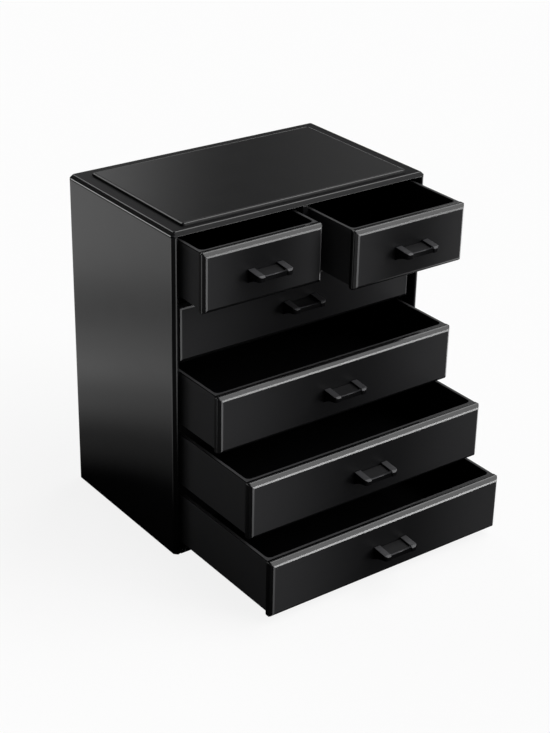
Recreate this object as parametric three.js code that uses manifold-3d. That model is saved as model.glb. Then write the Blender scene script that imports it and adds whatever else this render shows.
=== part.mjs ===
// A countertop make-up organizer of glossy black moulded plastic: a cabinet of bonded panels with five
// rows of drawers. The top row holds two half-width drawers with a divider between them, and each row
// below holds one full-width drawer. The drawers stand open by different amounts.
//
// Millimetres. +Z is up, -Y is the front, and the origin is the middle of the cabinet's footprint.

import * as THREE from 'three';
import { mergeVertices } from 'three/addons/utils/BufferGeometryUtils.js';
import Module from 'manifold-3d';

// Cabinet
const cabinetWidth = 240;
const cabinetDepth = 151;
const cabinetHeight = 274; // up to the roof's flat border; the plateau rises above it
const sideThickness = 4.9;
const roofThickness = 3.3;
const baseThickness = 3.6;
const backThickness = 3.5;
const shelfThickness = 3;
const dividerThickness = 4.9;
const edgeBevel = 2.8; // along the outer front and top edges
const rearCornerRadius = 4.5;
const arrisBevel = 0.6; // takes the sharpness off inner edges
const sillHeight = 4.2; // the base's raised front edge, below the lowest drawer's front
const railWidth = 8; // the two rails that carry the lowest drawer

// Plateau on the roof
const plateauHeight = 2.2;
const plateauBevel = 0.9;
const plateauSideInset = 13.5;
const plateauFrontInset = 8;
const plateauRearInset = 13;
const plateauCornerRadius = 3;

// Joints between the bonded panels
const bondGap = 0.3;
const tongueThickness = 1.6; // on the upper edge of each upright, in a groove of the roof
const tongueHeight = 1.2;
const tongueInset = 1.6; // from a side wall's inner face to its tongue's middle
const tongueSetback = 9; // from the front and rear faces
const housingDepth = 1.5; // grooves in the side walls that hold the shelves
const seatDepth = 1; // groove in the upper shelf that holds the divider

// Drawer fronts
const rowCount = 5;
const plateThickness = 6;
const frontRecess = 4.3; // a shut front lies this far behind the cabinet's front edges
const plateBevel = 3;
const plateCornerRadius = 2;
const faceCornerRadius = 0.4;
const plateGap = 5.1; // between the fronts of neighbouring rows
const plateFootGap = 1.2; // the part of that gap that is below a front, above its row's lower limit
const plateSideGap = 1.8; // between a front and the wall beside it
const plateRearGap = 0.5; // between a shut front and the shelves' front edges

// Trays
const trayInset = 0.8; // from the front's outline, each side
const traySideWall = 3.2;
const trayFrontWall = 3;
const trayRearWall = 3;
const trayFloor = 2.4;
const trayDraft = 0.5; // the inside narrows by this, each side, down to the floor
const trayRearGap = 1.5; // behind a shut tray
const trayRearRadius = 2.5;
const trayFrontRadius = 0.5;
const trayInnerRadius = 3.4;
const rimDrop = 0.5; // from the front's upper edge down to the rim
const rimBevel = 0.5;
const brimHeight = 3.6; // the tray's upper edge stands proud of its walls, as a brim
const brimOverhang = 0.7;
const runnerLift = 1.6; // from the front's lower edge up to the runners
const runnerWidth = 4;
const runnerHeight = 0.8;
const runnerInset = 14; // from the tray's side to a runner's middle
const runnerSetback = 5;
const slideGap = 0.3; // between the runners and what they slide on

// Pulls
const pullWidth = 32;
const pullReach = 14.6;
const pullDrop = 20.2; // from the front's upper edge down to the pull's root
const pullRootHeight = 11;
const pullNoseHeight = 4.6;
const pullNoseBevel = 1.3;
const pullTopFall = 1.4; // the top slopes down this much towards the nose
const pullCornerRadius = 3;
const cheekThickness = 4;
const lipThickness = 1.6; // the bar that joins the cheeks at the nose
const lipSetback = 0.8; // from the cheeks' noses
const lipDrop = 0.7; // from the cheeks' upper edges
const dishDepth = 1.7;
const dishRadius = 2.2;
const webThickness = 2; // the shelf of the pull, between the dish and the finger hollow
const pegDiameter = 3;
const pegTipGap = 0.6;

// How far each drawer stands open, as a share of its tray's length
const topLeftOpenShare = 0.251;
const topRightOpenShare = 0.4476;
const thirdOpenShare = 0.4025;
const fourthOpenShare = 0.7024;
const bottomOpenShare = 0.9062;

// Step counts of the curves
const cornerSteps = 6;
const smallCornerSteps = 4;
const pegSides = 16;
const gussetSteps = 8;

// Cut tools run this far past the material they cut
const overrun = 1;

const wallInner = cabinetWidth / 2 - sideThickness;
const cabinetFront = -cabinetDepth / 2;
const cabinetRear = cabinetDepth / 2;
const roofUnderside = cabinetHeight - roofThickness;
const backFace = cabinetRear - backThickness;
const shutFace = cabinetFront + frontRecess; // the face of a shut drawer's front
const shelfFront = shutFace + plateThickness + plateRearGap;
const shelfRear = backFace - bondGap;

const rowPitch = (roofUnderside - sillHeight) / rowCount;
const plateHeight = rowPitch - plateGap;
const fullPlateWidth = 2 * (wallInner - plateSideGap);
const halfPlateWidth = wallInner - dividerThickness / 2 - 2 * plateSideGap;
const halfPlateCentre = (wallInner + dividerThickness / 2) / 2;

const trayHeight = plateHeight - rimDrop - runnerLift - runnerHeight;
const trayLength = backFace - trayRearGap - shutFace - plateThickness - bondGap;

// Heights are counted from the lowest row, which is row 0.
const plateBottom = (row) => sillHeight + row * rowPitch + plateFootGap;
const deckTop = (row) => plateBottom(row) + runnerLift - slideGap;

const wasm = await Module();
wasm.setup();

function solidOf(geometry) {
  const bare = geometry.clone();
  bare.deleteAttribute('normal');
  bare.deleteAttribute('uv');
  const merged = mergeVertices(bare);
  const vertProperties = new Float32Array(merged.attributes.position.array);
  const triVerts = new Uint32Array(merged.index.array);
  return new wasm.Manifold(new wasm.Mesh({ numProp: 3, vertProperties, triVerts }));
}

function geometryOf(solid) {
  const { vertProperties, triVerts } = solid.getMesh();
  const geometry = new THREE.BufferGeometry();
  geometry.setAttribute('position', new THREE.BufferAttribute(vertProperties, 3));
  geometry.setIndex(new THREE.BufferAttribute(triVerts, 1));
  geometry.computeVertexNormals();
  return geometry;
}

const join = (solids) => solids.reduce((whole, piece) => whole.add(piece));
const cut = (body, tools) => tools.reduce((rest, tool) => rest.subtract(tool), body);

// An upright block between two opposite corners.
function block(low, high) {
  const size = high.map((value, i) => value - low[i]);
  const middle = high.map((value, i) => (value + low[i]) / 2);
  return solidOf(new THREE.BoxGeometry(...size).translate(...middle));
}

// The points round a rectangle, anticlockwise from its front left corner. Each corner is [radius, steps]:
// one step gives a flat bevel, more steps an arc, and a zero radius leaves it sharp.
function outline({ left, right, front, rear }, [frontLeft, frontRight, rearRight, rearLeft]) {
  const places = [
    [left, front, 1, 1, frontLeft],
    [right, front, -1, 1, frontRight],
    [right, rear, -1, -1, rearRight],
    [left, rear, 1, -1, rearLeft],
  ];
  return places.flatMap(([x, y, inX, inY, [radius, steps]], corner) => {
    if (radius === 0) return [new THREE.Vector2(x, y)];
    const start = Math.PI + (corner * Math.PI) / 2;
    return Array.from({ length: steps + 1 }, (_, step) => {
      const angle = start + (step / steps) * (Math.PI / 2);
      const centreX = x + inX * radius;
      const centreY = y + inY * radius;
      return new THREE.Vector2(centreX + radius * Math.cos(angle), centreY + radius * Math.sin(angle));
    });
  });
}

// Moves the sides of a rectangle inwards.
const shrink = ({ left, right, front, rear }, inset) => ({
  left: left + inset,
  right: right - inset,
  front: front + inset,
  rear: rear - inset,
});

// A closed skin through outlines of equal point count, each [points, height], from the lowest up.
function loft(rings) {
  const count = rings[0][0].length;
  const positions = rings.flatMap(([points, height]) => points.flatMap(({ x, y }) => [x, y, height]));
  const indices = [];
  for (let ring = 0; ring < rings.length - 1; ring += 1) {
    for (let i = 0; i < count; i += 1) {
      const a = ring * count + i;
      const b = ring * count + ((i + 1) % count);
      indices.push(a, b, b + count, a, b + count, a + count);
    }
  }
  const top = (rings.length - 1) * count;
  for (const [a, b, c] of THREE.ShapeUtils.triangulateShape(rings[0][0], [])) {
    indices.push(c, b, a);
  }
  for (const [a, b, c] of THREE.ShapeUtils.triangulateShape(rings[rings.length - 1][0], [])) {
    indices.push(top + a, top + b, top + c);
  }
  const geometry = new THREE.BufferGeometry();
  geometry.setAttribute('position', new THREE.Float32BufferAttribute(positions, 3));
  geometry.setIndex(indices);
  return geometry;
}

// A side view of [y, z] points, stretched across the width from one x to another.
function stretch(points, fromX, toX) {
  const shape = new THREE.Shape(points.map(([y, z]) => new THREE.Vector2(y, z)));
  const geometry = new THREE.ExtrudeGeometry(shape, { depth: toX - fromX, bevelEnabled: false });
  const axes = new THREE.Matrix4().makeBasis(
    new THREE.Vector3(0, 1, 0),
    new THREE.Vector3(0, 0, 1),
    new THREE.Vector3(1, 0, 0),
  );
  return solidOf(geometry.applyMatrix4(axes).translate(fromX, 0, 0));
}

const sharp = [0, 0];
const gloss = { color: 0x17171a, roughness: 0.14, metalness: 0, flatShading: true };
const satin = { color: 0x262629, roughness: 0.42, metalness: 0, flatShading: true };

function piece(name, solid, finish) {
  const mesh = new THREE.Mesh(geometryOf(solid), new THREE.MeshStandardMaterial(finish));
  mesh.name = name;
  return mesh;
}

// Uprights and roof. A tongue along the upper edge of each upright enters a groove in the roof.
const tongueCentre = (side) => side * (wallInner + tongueInset);

function tongue(centre, clearance) {
  const half = tongueThickness / 2 + clearance;
  const setback = tongueSetback - clearance;
  return block(
    [centre - half, cabinetFront + setback, roofUnderside - overrun],
    [centre + half, cabinetRear - setback, roofUnderside - bondGap + tongueHeight + 2 * clearance],
  );
}

function sideWall(side) {
  const faces = [(side * cabinetWidth) / 2, side * wallInner];
  const plan = {
    left: Math.min(...faces),
    right: Math.max(...faces),
    front: cabinetFront,
    rear: cabinetRear,
  };
  const left = [[edgeBevel, 1], [arrisBevel, 1], sharp, [rearCornerRadius, cornerSteps]];
  const right = [left[1], left[0], left[3], left[2]];
  const points = outline(plan, side < 0 ? left : right);
  const wall = solidOf(loft([[points, 0], [points, roofUnderside - bondGap]]));
  const housings = Array.from({ length: rowCount - 1 }, (_, row) => {
    const ends = [side * (wallInner - overrun), side * (wallInner + housingDepth)];
    return block(
      [Math.min(...ends), shelfFront - bondGap, deckTop(row + 1) - shelfThickness - bondGap],
      [Math.max(...ends), backFace, deckTop(row + 1) + bondGap],
    );
  });
  return cut(join([wall, tongue(tongueCentre(side), 0)]), housings);
}

function roof() {
  const plan = { left: -cabinetWidth / 2, right: cabinetWidth / 2, front: cabinetFront, rear: cabinetRear };
  // A 45 degree corner bevel shortens by (2 - sqrt 2) of the inset when its outline moves inwards.
  const ring = (inset) => {
    const frontCorner = [edgeBevel - (2 - Math.SQRT2) * inset, 1];
    const rearCorner = [rearCornerRadius - inset, cornerSteps];
    return outline(shrink(plan, inset), [frontCorner, frontCorner, rearCorner, rearCorner]);
  };
  const slab = loft([
    [ring(0), roofUnderside],
    [ring(0), cabinetHeight - edgeBevel],
    [ring(edgeBevel), cabinetHeight],
  ]);
  const raised = {
    left: plan.left + plateauSideInset,
    right: plan.right - plateauSideInset,
    front: plan.front + plateauFrontInset,
    rear: plan.rear - plateauRearInset,
  };
  const raisedRing = (inset) => {
    const corner = [plateauCornerRadius - inset, cornerSteps];
    return outline(shrink(raised, inset), [corner, corner, corner, corner]);
  };
  const plateau = loft([
    [raisedRing(0), cabinetHeight - roofThickness / 2],
    [raisedRing(0), cabinetHeight + plateauHeight - plateauBevel],
    [raisedRing(plateauBevel), cabinetHeight + plateauHeight],
  ]);
  const grooves = [-1, 0, 1].map((side) => tongue(tongueCentre(side), bondGap));
  return cut(join([solidOf(slab), solidOf(plateau)]), grooves);
}

// The divider's nose reaches the cabinet's front, past the front edge of the shelf that it stands on.
function divider() {
  const noseBottom = plateBottom(rowCount - 1);
  const seat = deckTop(rowCount - 1) - seatDepth + bondGap;
  const top = roofUnderside - bondGap;
  const profile = [
    [cabinetFront, noseBottom + arrisBevel],
    [cabinetFront + arrisBevel, noseBottom],
    [shelfFront - bondGap, noseBottom],
    [shelfFront - bondGap, seat],
    [shelfRear, seat],
    [shelfRear, top],
    [cabinetFront, top],
  ];
  return join([stretch(profile, -dividerThickness / 2, dividerThickness / 2), tongue(tongueCentre(0), 0)]);
}

function shelf(row) {
  const reach = wallInner + housingDepth - bondGap;
  const top = deckTop(row);
  const bottom = top - shelfThickness;
  const profile = [
    [shelfFront, bottom + arrisBevel],
    [shelfFront + arrisBevel, bottom],
    [shelfRear, bottom],
    [shelfRear, top],
    [shelfFront + arrisBevel, top],
    [shelfFront, top - arrisBevel],
  ];
  const deck = stretch(profile, -reach, reach);
  if (row < rowCount - 1) return deck;
  const half = dividerThickness / 2 + bondGap;
  const seat = block(
    [-half, shelfFront - overrun, top - seatDepth],
    [half, shelfRear + overrun, top + overrun],
  );
  return cut(deck, [seat]);
}

function base() {
  const reach = wallInner - bondGap;
  const profile = [
    [cabinetFront, 0],
    [shelfRear, 0],
    [shelfRear, baseThickness],
    [shelfFront, baseThickness],
    [shelfFront, sillHeight],
    [cabinetFront + arrisBevel, sillHeight],
    [cabinetFront, sillHeight - arrisBevel],
  ];
  const railCentre = fullPlateWidth / 2 - trayInset - runnerInset;
  const rails = [-1, 1].map((side) => block(
    [side * railCentre - railWidth / 2, shelfFront, baseThickness / 2],
    [side * railCentre + railWidth / 2, shelfRear, deckTop(0)],
  ));
  return join([stretch(profile, -reach, reach), ...rails]);
}

function back() {
  const reach = wallInner - bondGap;
  return block([-reach, backFace, 0], [reach, cabinetRear, roofUnderside - bondGap]);
}

const organizer = new THREE.Group();
const cabinet = new THREE.Group();
organizer.add(cabinet);
cabinet.add(piece('left_side_panel', sideWall(-1), gloss));
cabinet.add(piece('right_side_panel', sideWall(1), gloss));
cabinet.add(piece('roof_panel', roof(), gloss));
cabinet.add(piece('base_panel', base(), gloss));
cabinet.add(piece('back_panel', back(), gloss));
cabinet.add(piece('centre_divider', divider(), gloss));
const shelfNames = ['fourth_row', 'third_row', 'second_row', 'top_row'];
shelfNames.forEach((name, i) => cabinet.add(piece(`shelf_under_${name}`, shelf(i + 1), gloss)));

// A drawer's own frame: x is counted from its middle, y from the face of its front, z from the front's
// lower edge. The front is a plate with a wide bevel all round, and two holes take the pull's pegs.
const pegX = pullWidth / 2 - cheekThickness / 2;
const pegZ = plateHeight - pullDrop - pullRootHeight / 2;

function peg(side, radius, fromY, toY) {
  const geometry = new THREE.CylinderGeometry(radius, radius, toY - fromY, pegSides);
  return solidOf(geometry.translate(side * pegX, (fromY + toY) / 2, pegZ));
}

function front(width) {
  const plan = { left: -width / 2, right: width / 2, front: -plateHeight, rear: 0 };
  const corner = [plateCornerRadius, smallCornerSteps];
  const faceCorner = [faceCornerRadius, smallCornerSteps];
  const rim = outline(plan, [corner, corner, corner, corner]);
  const face = outline(shrink(plan, plateBevel), [faceCorner, faceCorner, faceCorner, faceCorner]);
  const plate = loft([
    [face, 0],
    [rim, plateBevel],
    [rim, plateThickness],
  ]);
  // The loft rises along +z, so it is laid over: its height becomes the depth, counted from the face.
  plate.rotateX(-Math.PI / 2);
  const radius = pegDiameter / 2 + bondGap;
  const holes = [-1, 1].map((side) => peg(side, radius, -overrun, plateThickness + overrun));
  return cut(solidOf(plate), holes);
}

function tray(width) {
  const z = runnerLift + runnerHeight;
  const y = plateThickness + bondGap;
  const plan = {
    left: -width / 2 + trayInset,
    right: width / 2 - trayInset,
    front: y,
    rear: y + trayLength,
  };
  const outer = (inset) => {
    const rearCorner = [trayRearRadius - inset, smallCornerSteps];
    const frontCorner = [trayFrontRadius, smallCornerSteps];
    const sides = { ...shrink(plan, inset), front: plan.front };
    return outline(sides, [frontCorner, frontCorner, rearCorner, rearCorner]);
  };
  const inner = (inset) => {
    const corner = [trayInnerRadius - inset, smallCornerSteps];
    const sides = {
      left: plan.left + traySideWall,
      right: plan.right - traySideWall,
      front: plan.front + trayFrontWall,
      rear: plan.rear - trayRearWall,
    };
    return outline(shrink(sides, inset), [corner, corner, corner, corner]);
  };
  const brimBottom = z + trayHeight - brimHeight;
  const shell = loft([
    [outer(brimOverhang + rimBevel), z],
    [outer(brimOverhang), z + rimBevel],
    [outer(brimOverhang), brimBottom],
    [outer(0), brimBottom],
    [outer(0), z + trayHeight - rimBevel],
    [outer(rimBevel), z + trayHeight],
  ]);
  const hollow = loft([
    [inner(trayDraft + rimBevel), z + trayFloor],
    [inner(trayDraft), z + trayFloor + rimBevel],
    [inner(0), z + trayHeight - rimBevel],
    [inner(-rimBevel), z + trayHeight],
    [inner(-rimBevel), z + trayHeight + overrun],
  ]);
  const runnerX = width / 2 - trayInset - runnerInset;
  const runners = [-1, 1].map((side) => block(
    [side * runnerX - runnerWidth / 2, plan.front + runnerSetback, runnerLift],
    [side * runnerX + runnerWidth / 2, plan.rear - runnerSetback, z + trayFloor / 2],
  ));
  return join([cut(solidOf(shell), [solidOf(hollow)]), ...runners]);
}

// The pull is a shelf between two cheeks. A shallow dish in its top leaves the cheeks and a low lip at the
// nose standing, and the hollow below it is where the fingers go. Its pegs stop short of the tray.
function pull() {
  const rootY = -bondGap;
  const noseY = rootY - pullReach;
  const rootTop = plateHeight - pullDrop;
  const rootBottom = rootTop - pullRootHeight;
  const noseTop = rootTop - pullTopFall;
  const noseBottom = noseTop - pullNoseHeight;
  const topAt = (y) => rootTop - (pullTopFall * (rootY - y)) / pullReach;

  // The cheeks' lower edge curves from the nose down to the root.
  const gusset = Array.from({ length: gussetSteps + 1 }, (_, step) => {
    const along = step / gussetSteps;
    return [noseY + along * pullReach, noseBottom + along * along * (rootBottom - noseBottom)];
  });
  const profile = [
    [rootY, rootTop],
    [noseY + pullNoseBevel, topAt(noseY + pullNoseBevel)],
    [noseY, noseTop - pullNoseBevel],
    ...gusset,
  ];
  const corner = [pullCornerRadius, cornerSteps];
  const plan = { left: -pullWidth / 2, right: pullWidth / 2, front: noseY, rear: rootY };
  const planRing = outline(plan, [corner, corner, sharp, sharp]);
  const mass = stretch(profile, plan.left - overrun, plan.right + overrun).intersect(
    solidOf(loft([[planRing, rootBottom - overrun], [planRing, rootTop + overrun]])),
  );

  const dishCorner = [dishRadius, smallCornerSteps];
  const dishPlan = {
    left: plan.left + cheekThickness,
    right: plan.right - cheekThickness,
    front: noseY + lipSetback + lipThickness,
    rear: rootY + overrun,
  };
  const dishRing = outline(dishPlan, [dishCorner, dishCorner, sharp, sharp]);
  const above = stretch([
    [noseY, topAt(noseY) - dishDepth],
    [dishPlan.rear, topAt(dishPlan.rear) - dishDepth],
    [dishPlan.rear, rootTop + overrun],
    [noseY, rootTop + overrun],
  ], plan.left, plan.right);
  const dish = above.intersect(solidOf(loft([[dishRing, rootBottom], [dishRing, rootTop + overrun]])));

  // The lip between the cheeks is lower than they are and stands a little behind their noses.
  const aboveLip = stretch([
    [noseY - overrun, topAt(noseY) - lipDrop],
    [dishPlan.front + dishRadius, topAt(dishPlan.front + dishRadius) - lipDrop],
    [dishPlan.front + dishRadius, rootTop + overrun],
    [noseY - overrun, rootTop + overrun],
  ], dishPlan.left, dishPlan.right);
  const beforeLip = block(
    [dishPlan.left, noseY - overrun, rootBottom - overrun],
    [dishPlan.right, noseY + lipSetback, rootTop + overrun],
  );

  const webDepth = dishDepth + webThickness;
  const hollow = stretch([
    [dishPlan.front, rootBottom - overrun],
    [dishPlan.rear, rootBottom - overrun],
    [dishPlan.rear, topAt(dishPlan.rear) - webDepth],
    [dishPlan.front, topAt(dishPlan.front) - webDepth],
  ], dishPlan.left, dishPlan.right);
  const pegTip = plateThickness - pegTipGap;
  const pegs = [-1, 1].map((side) => peg(side, pegDiameter / 2, rootY - overrun, pegTip));
  return join([cut(mass, [dish, aboveLip, beforeLip, hollow]), ...pegs]);
}

const drawers = [
  { name: 'top_left_drawer', row: 4, side: -1, openShare: topLeftOpenShare },
  { name: 'top_right_drawer', row: 4, side: 1, openShare: topRightOpenShare },
  { name: 'second_drawer', row: 3, side: 0, openShare: 0 },
  { name: 'third_drawer', row: 2, side: 0, openShare: thirdOpenShare },
  { name: 'fourth_drawer', row: 1, side: 0, openShare: fourthOpenShare },
  { name: 'bottom_drawer', row: 0, side: 0, openShare: bottomOpenShare },
];

for (const { name, row, side, openShare } of drawers) {
  const width = side === 0 ? fullPlateWidth : halfPlateWidth;
  const drawer = new THREE.Group();
  drawer.position.set(side * halfPlateCentre, shutFace - openShare * trayLength, plateBottom(row));
  drawer.add(piece(`${name}_tray`, tray(width), gloss));
  drawer.add(piece(`${name}_front`, front(width), gloss));
  drawer.add(piece(`${name}_pull`, pull(), satin));
  organizer.add(drawer);
}

export default organizer;
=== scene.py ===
from math import cos, pi, radians, sin

import bmesh
import bpy
from mathutils import Matrix, Vector


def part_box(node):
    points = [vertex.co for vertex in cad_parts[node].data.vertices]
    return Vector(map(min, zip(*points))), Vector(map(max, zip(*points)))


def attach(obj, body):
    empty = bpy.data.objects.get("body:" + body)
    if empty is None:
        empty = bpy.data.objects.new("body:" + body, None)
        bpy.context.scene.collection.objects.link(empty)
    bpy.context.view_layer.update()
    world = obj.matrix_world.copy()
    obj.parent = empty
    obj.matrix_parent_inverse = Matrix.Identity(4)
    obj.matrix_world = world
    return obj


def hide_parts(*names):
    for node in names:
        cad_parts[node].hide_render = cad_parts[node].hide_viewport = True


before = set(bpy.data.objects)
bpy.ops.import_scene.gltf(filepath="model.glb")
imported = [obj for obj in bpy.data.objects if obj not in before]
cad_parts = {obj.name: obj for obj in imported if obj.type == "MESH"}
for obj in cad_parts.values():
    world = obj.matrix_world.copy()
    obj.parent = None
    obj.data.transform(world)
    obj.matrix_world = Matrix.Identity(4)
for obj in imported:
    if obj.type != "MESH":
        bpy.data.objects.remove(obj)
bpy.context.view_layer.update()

# The camera stands to the left of the organizer and above it, and looks down on the open drawers. Its
# place and turn were worked out from the edges of the cabinet and its drawers in the photograph.
camera_place = Vector((-0.7168, -1.0017, 0.7207))
camera_turn = radians(36.73)
camera_dip = radians(26.62)
camera_roll = radians(1.28)
focal_length_px = 1649
picture_long_side_px = 733
film_width_mm = 36

ahead = Vector((sin(camera_turn) * cos(camera_dip), cos(camera_turn) * cos(camera_dip), -sin(camera_dip)))
level = Vector((cos(camera_turn), -sin(camera_turn), 0))
upright = level.cross(ahead)
right = level * cos(camera_roll) + upright * sin(camera_roll)
up = upright * cos(camera_roll) - level * sin(camera_roll)

lens = bpy.data.cameras.new("camera")
lens.sensor_width = film_width_mm
lens.lens = focal_length_px * film_width_mm / picture_long_side_px
camera = bpy.data.objects.new("camera", lens)
camera.matrix_world = Matrix.Translation(camera_place) @ Matrix((right, up, -ahead)).transposed().to_4x4()
bpy.context.scene.collection.objects.link(camera)
bpy.context.scene.camera = camera
bpy.context.scene.view_settings.view_transform = "Standard"


# The organizer stands on a wide sheet of matt white paper, with pale boards laid round it. The camera sees
# the paper alone, white, with the organizer's shadow on it. The boards are there for the gloss to mirror.
def add_node(tree, kind, inputs=(), **settings):
    node = tree.nodes.new(kind)
    for setting, value in settings.items():
        setattr(node, setting, value)
    for socket, value in dict(inputs).items():
        if isinstance(value, bpy.types.NodeSocket):
            tree.links.new(value, node.inputs[socket])
        else:
            node.inputs[socket].default_value = value
    return node


def linear(hex_colour):
    channels = [int(hex_colour[i:i + 2], 16) / 255 for i in (1, 3, 5)]
    return [c / 12.92 if c <= 0.04045 else ((c + 0.055) / 1.055) ** 2.4 for c in channels] + [1]


def new_material(name):
    material = bpy.data.materials.new(name)
    material.use_nodes = True
    material.node_tree.nodes.clear()
    return material, material.node_tree


# Adds up a base level and round patches with soft edges. A patch is given by the turn of its middle from
# straight behind the organizer towards the right, its rise, its reach from middle to edge, and its level.
# The turn, the rise, the reach and the width of the soft edge are in degrees.
def patchwork(tree, direction, base_level, patches, edge):
    brightness = base_level
    for turn, rise, reach, patch_level in patches:
        turn, rise = radians(turn), radians(rise)
        way = (sin(turn) * cos(rise), cos(turn) * cos(rise), sin(rise))
        nearness = add_node(
            tree, "ShaderNodeVectorMath", {0: direction, 1: way}, operation="DOT_PRODUCT",
        ).outputs["Value"]
        patch = add_node(
            tree, "ShaderNodeMapRange",
            {"Value": nearness, "From Min": cos(radians(reach + edge)),
             "From Max": cos(radians(reach - edge)), "To Max": patch_level},
            interpolation_type="SMOOTHSTEP",
        ).outputs[0]
        brightness = add_node(tree, "ShaderNodeMath", {0: brightness, 1: patch}).outputs[0]
    return brightness


millimetre = 0.001
floor_reach = 6
floor_drop = 0.2 * millimetre
organizer_middle = Vector((0, -0.06, 0))
board_level = 0.1
boards = [
    (-46, 0, 30, 0.9),
    (-86, 0, 9, 2.2),
    (200, 0, 16, 2.8),
    (106, 0, 16, 3.0),
    (45, 0, 15, 0.9),
]
board_edge = 8
# How bright the paper is in the gloss, a painted shadow near the organizer and painted light further out:
# the distance from the organizer's middle, then the share there.
paper_span = 0.8
paper_gloss_levels_painted_shadow = [
    (0.18, 0), (0.25, 0.13), (0.33, 0.5), (0.39, 0.86), (0.45, 0.7), (0.52, 0.5), (0.58, 0.62), (0.64, 0.9),
    (0.74, 1.0),
]

shape = bmesh.new()
bmesh.ops.create_grid(shape, x_segments=1, y_segments=1, size=floor_reach)
bmesh.ops.translate(shape, verts=shape.verts, vec=(0, 0, -floor_drop))
floor_mesh = bpy.data.meshes.new("floor")
shape.to_mesh(floor_mesh)
shape.free()
floor = bpy.data.objects.new("floor", floor_mesh)
bpy.context.scene.collection.objects.link(floor)

# Matt white paper has no sheen, so all that the eye gets from it is white and a soft grey shadow. The
# camera takes most of the white as it is and the rest from the light that falls on the paper, and that
# rest holds the shadow. The light which the paper throws back on the organizer is that of a mid grey.
paper_seen = "#ffffff"
paper_in_bounces = "#909090"
camera_white_share = 0.86

paper, tree = new_material("matt white paper")
ray = add_node(tree, "ShaderNodeLightPath").outputs
place = add_node(tree, "ShaderNodeTexCoord").outputs["Object"]
offset = add_node(
    tree, "ShaderNodeVectorMath", {0: place, 1: organizer_middle}, operation="SUBTRACT",
).outputs["Vector"]
distance = add_node(tree, "ShaderNodeVectorMath", {0: offset}, operation="LENGTH").outputs["Value"]
direction = add_node(tree, "ShaderNodeVectorMath", {0: offset}, operation="NORMALIZE").outputs["Vector"]
board_light = patchwork(tree, direction, board_level, boards, board_edge)
distance_share = add_node(
    tree, "ShaderNodeMapRange", {"Value": distance, "From Max": paper_span},
).outputs[0]
# The painted shadow round the organizer, and the painted light beyond it, as the gloss sees the paper.
painted_shadow_ramp = add_node(tree, "ShaderNodeValToRGB", {"Fac": distance_share})
painted_shadow_ramp.color_ramp.interpolation = "EASE"
for mark, paper_level in paper_gloss_levels_painted_shadow:
    stop = painted_shadow_ramp.color_ramp.elements.new(mark / paper_span)
    stop.color = (paper_level, paper_level, paper_level, 1)
paper_in_gloss = add_node(
    tree, "ShaderNodeMath", {0: board_light, 1: painted_shadow_ramp.outputs[0]}, operation="MULTIPLY",
).outputs[0]
mirrored = add_node(
    tree, "ShaderNodeMath", {0: ray["Is Glossy Ray"], 1: ray["Is Transmission Ray"]}, use_clamp=True,
).outputs[0]
whitened = add_node(
    tree, "ShaderNodeMath", {0: ray["Is Camera Ray"], 1: camera_white_share, 2: mirrored},
    operation="MULTIPLY_ADD",
).outputs[0]
strength = add_node(
    tree, "ShaderNodeMix", {"Factor": mirrored, "A": 1.0, "B": paper_in_gloss}, data_type="FLOAT",
).outputs["Result"]
colour = add_node(
    tree, "ShaderNodeMix",
    {"Factor": ray["Is Camera Ray"], "A": linear(paper_in_bounces), "B": linear(paper_seen)},
    data_type="RGBA",
).outputs["Result"]
lit = add_node(tree, "ShaderNodeBsdfDiffuse", {"Color": colour}).outputs[0]
white = add_node(tree, "ShaderNodeEmission", {"Strength": strength}).outputs[0]
seen = add_node(tree, "ShaderNodeMixShader", {0: whitened, 1: lit, 2: white}).outputs[0]
add_node(tree, "ShaderNodeOutputMaterial", {"Surface": seen})
floor.data.materials.append(paper)

# The room round the paper is dim, with soft pale panels at its rear, which the roof, its arrises and the
# left wall mirror. The camera sees the room plain white from every side.
room_level = 0.08
panels = [(16, 20, 13, 0.88), (54, 20, 14, 0.18), (43, 0, 5, 0.5), (-36, 4, 9, 5.2)]
panel_edge = 5

world = bpy.data.worlds.new("studio")
world.use_nodes = True
world.node_tree.nodes.clear()
skyward = add_node(world.node_tree, "ShaderNodeTexCoord").outputs["Generated"]
room_light = patchwork(world.node_tree, skyward, room_level, panels, panel_edge)
watched = add_node(world.node_tree, "ShaderNodeLightPath").outputs["Is Camera Ray"]
room_strength = add_node(
    world.node_tree, "ShaderNodeMix", {"Factor": watched, "A": room_light, "B": 1.0}, data_type="FLOAT",
).outputs["Result"]
glow = add_node(
    world.node_tree, "ShaderNodeBackground", {"Color": (1, 1, 1, 1), "Strength": room_strength},
).outputs[0]
add_node(world.node_tree, "ShaderNodeOutputWorld", {"Surface": glow})
bpy.context.scene.world = world

# Four round softboxes, far off, so that the paper is lit evenly. Each is given by its way from the
# organizer, its brightness and how wide it looks from there, in degrees.
softboxes = [
    ("top_softbox", (0.534, -0.45, 0.714), 2.5, 60),
    ("front_softbox", (0.553, -0.815, 0.157), 15.0, 20),
    ("overhead_softbox", (0.534, 0.187, 0.823), 4.0, 24),
    ("rear_softbox", (0.06, 0.714, 0.696), 2.4, 22),
]
for name, way, radiance, spread in softboxes:
    light = bpy.data.lights.new(name, "SUN")
    light.energy = radiance * pi * sin(radians(spread) / 2) ** 2
    light.angle = radians(spread)
    lamp = bpy.data.objects.new(name, light)
    lamp.matrix_world = Vector(way).to_track_quat("Z", "Y").to_matrix().to_4x4()
    bpy.context.scene.collection.objects.link(lamp)

# The cabinet's flat panels are moulded polystyrene, polished, and bonded edge to edge with solvent. Each
# is the CAD's own panel with its arrises eased by a fine chamfer.
panel_ease = 0.4 * millimetre
# Two points closer than this are one, two faces that turn by less than this lie in one plane, and two
# that turn by more than this meet in an arris.
same_point = 0.001 * millimetre
same_plane = radians(0.5)
least_arris = radians(28)


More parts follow.
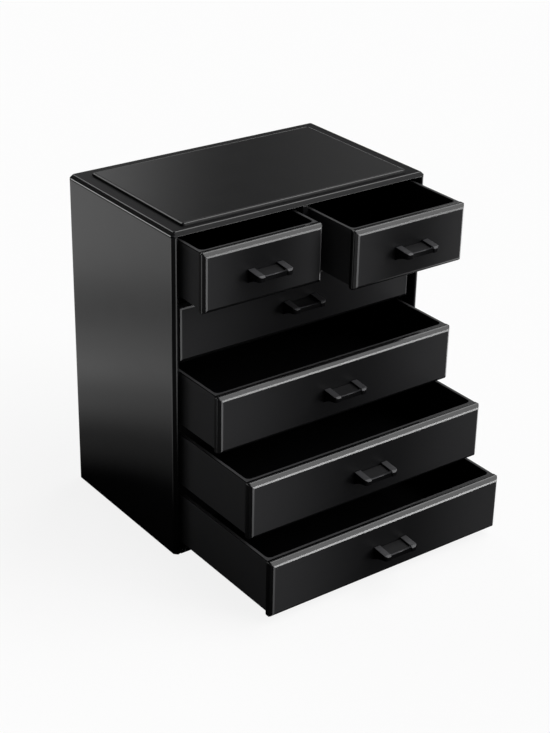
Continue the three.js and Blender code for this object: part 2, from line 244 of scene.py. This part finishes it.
def node_copy(node):
    shape = bmesh.new()
    shape.from_mesh(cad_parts[node].data)
    bmesh.ops.remove_doubles(shape, verts=shape.verts, dist=same_point)
    bmesh.ops.dissolve_limit(shape, angle_limit=same_plane, verts=shape.verts, edges=shape.edges)
    for face in shape.faces:
        face.smooth = True
    return shape


def arrises_of(shape):
    return [edge for edge in shape.edges if edge.is_convex and edge.calc_face_angle(0) > least_arris]


# A chamfer of one segment keeps its two edges sharp. More segments make a smooth round.
def ease(shape, arrises, radius, segments):
    eased = bmesh.ops.bevel(
        shape, geom=arrises, offset=radius, offset_type="OFFSET", affect="EDGES", segments=segments,
        profile=0.5, material=-1, clamp_overlap=False,
    )
    for face in eased["faces"]:
        face.smooth = True
        if segments == 1:
            for edge in face.edges:
                edge.smooth = False
    return eased["faces"]


# The weighted normals follow the largest faces, so that a flat face stays flat to the eye beside its round.
def finish_piece(name, shape, body, replaced, materials):
    mesh = bpy.data.meshes.new(name)
    shape.to_mesh(mesh)
    shape.free()
    for material in materials:
        mesh.materials.append(material)
    piece = bpy.data.objects.new(name, mesh)
    bpy.context.scene.collection.objects.link(piece)
    even = piece.modifiers.new("even_faces", "WEIGHTED_NORMAL")
    even.mode = "FACE_AREA"
    even.weight = 100
    even.keep_sharp = True
    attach(piece, body)
    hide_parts(replaced)


# A moulded plastic skin is never quite flat. As it cools it sinks in waves about 9 mm apart and 0.002 mm
# deep, which makes what it mirrors waver. It also takes the mould's polish a little unevenly, in patches
# some 18 mm across.
sink_size = 9 * millimetre
sink_depth = 0.002 * millimetre
haze_size = 18 * millimetre
haze_spread = 0.02
noise_low = 0.3
noise_high = 0.7
plastic_ior = 1.5


def plastic(name, colour, roughness, specular, relief_size=sink_size, relief_depth=sink_depth):
    material, tree = new_material(name)
    place = add_node(tree, "ShaderNodeTexCoord").outputs["Object"]
    relief = add_node(
        tree, "ShaderNodeTexNoise", {"Vector": place, "Scale": 1 / relief_size, "Detail": 2.0},
    ).outputs["Fac"]
    bump = add_node(
        tree, "ShaderNodeBump", {"Height": relief, "Strength": 1.0, "Distance": relief_depth},
    ).outputs[0]
    haze = add_node(
        tree, "ShaderNodeTexNoise", {"Vector": place, "Scale": 1 / haze_size, "Detail": 4.0},
    ).outputs["Fac"]
    rough = add_node(
        tree, "ShaderNodeMapRange",
        {"Value": haze, "From Min": noise_low, "From Max": noise_high,
         "To Min": roughness - haze_spread, "To Max": roughness + haze_spread},
    ).outputs[0]
    surface = add_node(
        tree, "ShaderNodeBsdfPrincipled",
        {"Base Color": linear(colour), "Roughness": rough, "IOR": plastic_ior,
         "Specular IOR Level": specular, "Normal": bump},
    )
    add_node(tree, "ShaderNodeOutputMaterial", {"Surface": surface.outputs[0]})
    return material


# Polystyrene from a polished mould: a deep black that mirrors the boards and panels with soft edges.
cabinet_gloss = plastic("polished polystyrene", "#101011", roughness=0.18, specular=0.4)

flat_panels = (
    "left_side_panel", "right_side_panel", "base_panel", "back_panel", "centre_divider",
    "shelf_under_top_row", "shelf_under_second_row", "shelf_under_third_row", "shelf_under_fourth_row",
)
for node in flat_panels:
    shape = node_copy(node)
    ease(shape, arrises_of(shape), panel_ease, 1)
    finish_piece(node + "_moulding", shape, "cabinet", node, [cabinet_gloss])

# The roof is one polystyrene moulding, bonded over the tongues of the side walls. A low plateau stands on
# it inside a border with bevelled edges, and a fine groove runs round inside the plateau's sloping rim.
rim_width = 0.7 * millimetre
rim_fall = 0.2 * millimetre
groove_width = 0.5 * millimetre
groove_depth = 0.3 * millimetre
rim_and_groove = (
    (rim_width, rim_fall),
    (groove_width / 2, -groove_depth),
    (groove_width / 2, groove_depth),
)
roof_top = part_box("roof_panel")[1].z
bevel_foot = roof_top - 5.0 * millimetre
border_height = roof_top - 2.1 * millimetre
close_by = 0.1 * millimetre
# The least share of a face's normal that points a way: for a face that lies square to that way, for one
# that is turned from it by up to 25 degrees, and for a bevel.
square_on = 0.99
nearly_on = 0.9
slanting_on = 0.6

# The border and most bevels as they left the mould: a soft dark sheen, in which nothing is mirrored.
bevel_satin = plastic("polystyrene bevel as moulded", "#161617", roughness=0.42, specular=0.12)
# The plateau's left riser is painted darker, with nearly no sheen, as painted shade that draws a thin black
# line.
left_riser_painted_shade = plastic("polystyrene left riser painted shade", "#0a0a0b", roughness=0.5, specular=0.02)
roof_finishes = [cabinet_gloss, bevel_satin, left_riser_painted_shade]

shape = node_copy("roof_panel")
for face in shape.faces:
    raised = face.calc_center_median().z > border_height
    unpolished = face.normal.y < -slanting_on if raised else face.normal.z > slanting_on
    finish = cabinet_gloss
    if raised and face.normal.x < -slanting_on:
        finish = left_riser_painted_shade
    elif unpolished and face.normal.x < slanting_on:
        finish = bevel_satin
    face.material_index = roof_finishes.index(finish)
outer_arrises = [edge for edge in arrises_of(shape)
                 if all(abs(corner.co.z - bevel_foot) < close_by for corner in edge.verts)
                 and all(face.normal.y > -slanting_on for face in edge.link_faces)]
top_arrises = [edge for edge in arrises_of(shape)
               if any(face.normal.z > square_on for face in edge.link_faces)]
for face in ease(shape, outer_arrises + top_arrises, panel_ease, 1):
    face.material_index = roof_finishes.index(cabinet_gloss)
plateau = max(shape.faces, key=lambda face: face.calc_area() if face.normal.z > square_on else 0)
for inset, rise in rim_and_groove:
    bmesh.ops.inset_region(shape, faces=[plateau], thickness=inset, depth=0, use_even_offset=True)
    bmesh.ops.translate(shape, verts=plateau.verts, vec=(0, 0, rise))
# The rim's rise lifted all that lies inside it, and this brings the plateau back to its height.
lifted = [corner for corner in shape.verts if corner.co.z > roof_top - groove_depth]
bmesh.ops.translate(shape, verts=lifted, vec=(0, 0, -rim_fall))
finish_piece("roof_panel_moulding", shape, "cabinet", "roof_panel", roof_finishes)

# The trays are open polystyrene mouldings with a brim, thinner than the cabinet's panels and less
# polished. Each runs on two moulded runners, and its front is bonded to it.
drawers = (
    "top_left_drawer", "top_right_drawer", "second_drawer", "third_drawer", "fourth_drawer", "bottom_drawer",
)
tray_ease = 0.2 * millimetre

# Unpolished polystyrene: hardly any sheen, so that the inside of a tray stays dark.
tray_gloss = plastic("tray polystyrene", "#111112", roughness=0.5, specular=0.04)
# The brim is painted grey, a painted highlight that shows as a thin grey line round the dark inside.
brim_painted_highlight = plastic("tray polystyrene brim painted highlight", "#464647", roughness=0.4, specular=0.2)
# The outer sides are painted an even dark grey, a painted reflection, and show no reflections of their own.
side_painted_sheen = plastic("tray polystyrene side painted sheen", "#323233", roughness=0.5, specular=0.04)
tray_finishes = [tray_gloss, brim_painted_highlight, side_painted_sheen]

for drawer in drawers:
    node = drawer + "_tray"
    low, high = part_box(node)
    middle = (low.x + high.x) / 2
    shape = node_copy(node)
    for face in shape.faces:
        place = face.calc_center_median()
        outward = face.normal.x if place.x > middle else -face.normal.x
        finish = tray_gloss
        if place.z > high.z - close_by:
            finish = brim_painted_highlight
        elif outward > nearly_on:
            finish = side_painted_sheen
        face.material_index = tray_finishes.index(finish)
    ease(shape, arrises_of(shape), tray_ease, 2)
    finish_piece(node + "_moulding", shape, drawer, node, tray_finishes)

# The fronts are thick polystyrene plates, bonded to their trays, with a wide polished bevel all round, a
# rounded shoulder outside it and a narrow facet between it and the flat face.
bevel_width = 3.0 * millimetre
shoulder_radius = 1.2 * millimetre
face_chamfer = 0.75 * millimetre
corner_gap = 0.6 * millimetre
corner_error = 0.5 * millimetre
# An arris is known by how its two faces look along y: the plate's edge not at all, the bevel by 0.7 and
# the flat face by 1, all of them towards the front.
outer_arris = [-0.7, 0.0]
face_arris = [-1.0, -0.7]
bevel_least = 0.69
bevel_most = 0.72
facet_least = 0.85
downward = -0.1

# Polystyrene from a polished mould: the bevel mirrors the light as a clear band.
bevel_gloss = plastic("front polystyrene bevel", "#131314", roughness=0.2, specular=0.5)
# The facet round the flat face is painted pale, a painted highlight that shows as a fine pale line on every
# side but below.
arris_painted_highlight = plastic("front polystyrene arris painted highlight", "#5c5c5d", roughness=0.25, specular=0.35)


# The flat face carries a painted reflection: it is black in the middle, behind the pull, and its colour
# grows to dark grey at both ends.
face_middle_black = "#161617"
painted_sheen_grey = "#2d2d2e"
dark_middle_share = 0.1


def face_plastic_painted_sheen(name, centre, half_width):
    material = plastic(name, face_middle_black, roughness=0.36, specular=0.08)
    tree = material.node_tree
    place = add_node(tree, "ShaderNodeTexCoord").outputs["Object"]
    across = add_node(tree, "ShaderNodeSeparateXYZ", {0: place}).outputs["X"]
    aside = add_node(tree, "ShaderNodeMath", {0: across}, operation="ABSOLUTE").outputs[0]
    offset = add_node(tree, "ShaderNodeMath", {0: aside, 1: centre}, operation="SUBTRACT").outputs[0]
    from_middle = add_node(tree, "ShaderNodeMath", {0: offset}, operation="ABSOLUTE").outputs[0]
    # How far the painted reflection has grown towards this end.
    haze = add_node(
        tree, "ShaderNodeMapRange",
        {"Value": from_middle, "From Min": dark_middle_share * half_width, "From Max": half_width},
        interpolation_type="SMOOTHSTEP",
    ).outputs[0]
    colour = add_node(
        tree, "ShaderNodeMix", {"Factor": haze, "A": linear(face_middle_black), "B": linear(painted_sheen_grey)},
        data_type="RGBA",
    ).outputs["Result"]
    tree.links.new(colour, tree.nodes["Principled BSDF"].inputs["Base Color"])
    return material


for drawer in drawers:
    node = drawer + "_front"
    low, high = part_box(node)
    face_gloss = face_plastic_painted_sheen(node + " polystyrene face painted sheen at ends", abs(low.x + high.x) / 2, (high.x - low.x) / 2)
    front_finishes = [face_gloss, bevel_gloss, tray_gloss, arris_painted_highlight]
    shape = node_copy(node)
    # The points that round a corner of the flat face are drawn together into a square one, which lies a
    # bevel's width inside the plate's box in x and in z, so that the facet is mitred there.
    face_points = [corner for corner in shape.verts if corner.co.y < low.y + close_by]
    bmesh.ops.remove_doubles(shape, verts=face_points, dist=corner_gap)
    for corner in shape.verts:
        if corner.co.y < low.y + close_by:
            for axis in (0, 2):
                for face_edge in (low[axis] + bevel_width, high[axis] - bevel_width):
                    if abs(corner.co[axis] - face_edge) < corner_error:
                        corner.co[axis] = face_edge
    for looks, radius, segments in ((outer_arris, shoulder_radius, 4), (face_arris, face_chamfer, 1)):
        arrises = [edge for edge in arrises_of(shape)
                   if sorted(round(face.normal.y, 1) for face in edge.link_faces) == looks]
        ease(shape, arrises, radius, segments)
    for edge in shape.edges:
        if any(bevel_least < -face.normal.y < bevel_most for face in edge.link_faces):
            edge.smooth = False
    for face in shape.faces:
        finish = bevel_gloss
        if -face.normal.y > square_on:
            finish = face_gloss
        elif -face.normal.y > facet_least and face.normal.z > downward:
            finish = arris_painted_highlight
        elif abs(face.normal.x) > nearly_on:
            # The plate's end edges are as dull as the trays.
            finish = tray_gloss
        face.material_index = front_finishes.index(finish)
    finish_piece(node + "_moulding", shape, drawer, node, front_finishes)

# The pulls are single mouldings of tougher ABS with a satin grain: a shelf with a shallow dish between two
# cheeks, which are a little thicker than the CAD's. Two pegs hold each pull in its front.
pull_ease = 0.5 * millimetre
# What lies nearer the pull's middle than this is the gap between the cheeks, and it narrows to this share.
gap_half_width = 12.05 * millimetre
gap_share = 0.84
# A face that looks up by more than this takes the painted highlight.
highlight_slope = 0.45
# The real grain is about a tenth of a millimetre. It is drawn four times as coarse, so that it shows.
grain_size = 0.4 * millimetre
grain_depth = 0.004 * millimetre

# ABS from a mould with a fine grain: a soft black without any reflection, painted darker as painted shade on
# the pull's sides, front and underside.
pull_black_painted_shade = plastic("satin ABS", "#080809", 0.6, 0.03, grain_size, grain_depth)
# The dish is painted a dark grey, paler than the sides but darker than the tops, as painted shade between
# the cheeks, which sets it off from them.
dish_painted_shade = plastic("satin ABS in the dish painted shade", "#242425", 0.5, 0.15, grain_size, grain_depth)
# The tops of the cheeks and the lip are painted a lighter grey, a painted highlight that shows as grey
# lines.
top_painted_highlight = plastic("satin ABS painted highlight", "#3e3e40", 0.42, 0.4, grain_size, grain_depth)
pull_finishes = [pull_black_painted_shade, dish_painted_shade, top_painted_highlight]

for drawer in drawers:
    node = drawer + "_pull"
    low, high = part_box(node)
    middle = (low.x + high.x) / 2
    shape = node_copy(node)
    for corner in shape.verts:
        if abs(corner.co.x - middle) < gap_half_width:
            corner.co.x = middle + (corner.co.x - middle) * gap_share
    dish = max(shape.faces, key=lambda face: face.calc_area() if face.normal.z > nearly_on else 0)
    dish.material_index = pull_finishes.index(dish_painted_shade)
    ease(shape, arrises_of(shape), pull_ease, 3)
    for face in shape.faces:
        if face.normal.z > highlight_slope and face.material_index == pull_finishes.index(pull_black_painted_shade):
            face.material_index = pull_finishes.index(top_painted_highlight)
    finish_piece(node + "_moulding", shape, drawer, node, pull_finishes)
